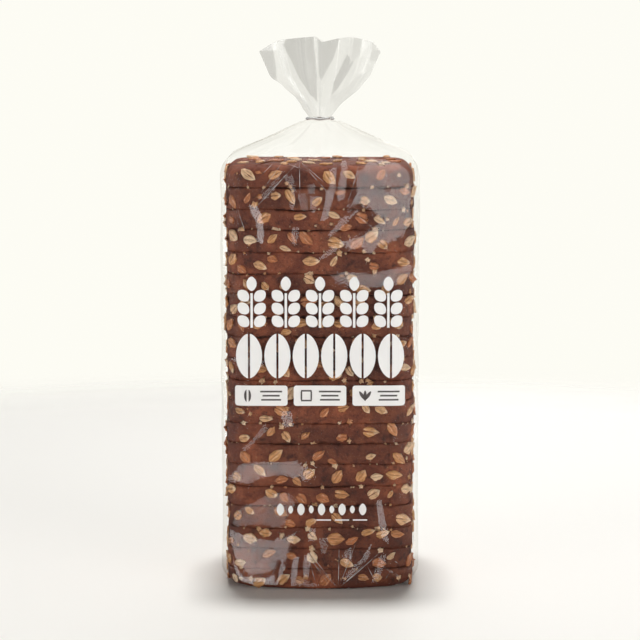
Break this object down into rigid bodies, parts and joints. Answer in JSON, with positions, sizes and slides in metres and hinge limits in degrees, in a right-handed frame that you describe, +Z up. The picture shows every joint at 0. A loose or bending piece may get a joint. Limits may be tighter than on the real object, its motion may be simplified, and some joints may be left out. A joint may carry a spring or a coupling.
{
  "type": "loaf in bread bag",
  "caption": "Tall sliced loaf of dark bread with oat flakes on its crust, standing in a clear bag drawn tight round it and gathered at the neck by a wire clip into a fan of film.",
  "frame": {"origin": "on the surface the loaf stands on, under the middle of the bag's box", "axes": "+Z up along the stack of slices, the printed front of the bag faces -Y, +X to the right of the front"},
  "size_m": [0.1027, 0.0996, 0.2931],
  "materials": {
    "bagged_bread": "dark crust seen through clear film",
    "oat_flakes": "dry pressed oats",
    "film": "clear glossy film",
    "print": "white ink",
    "clip_wire": "dull soft wire"
  },
  "bodies": {
    "root": {"bag": "bagged_bread", "clip": "clip_wire"}
  },
  "joints": []
}
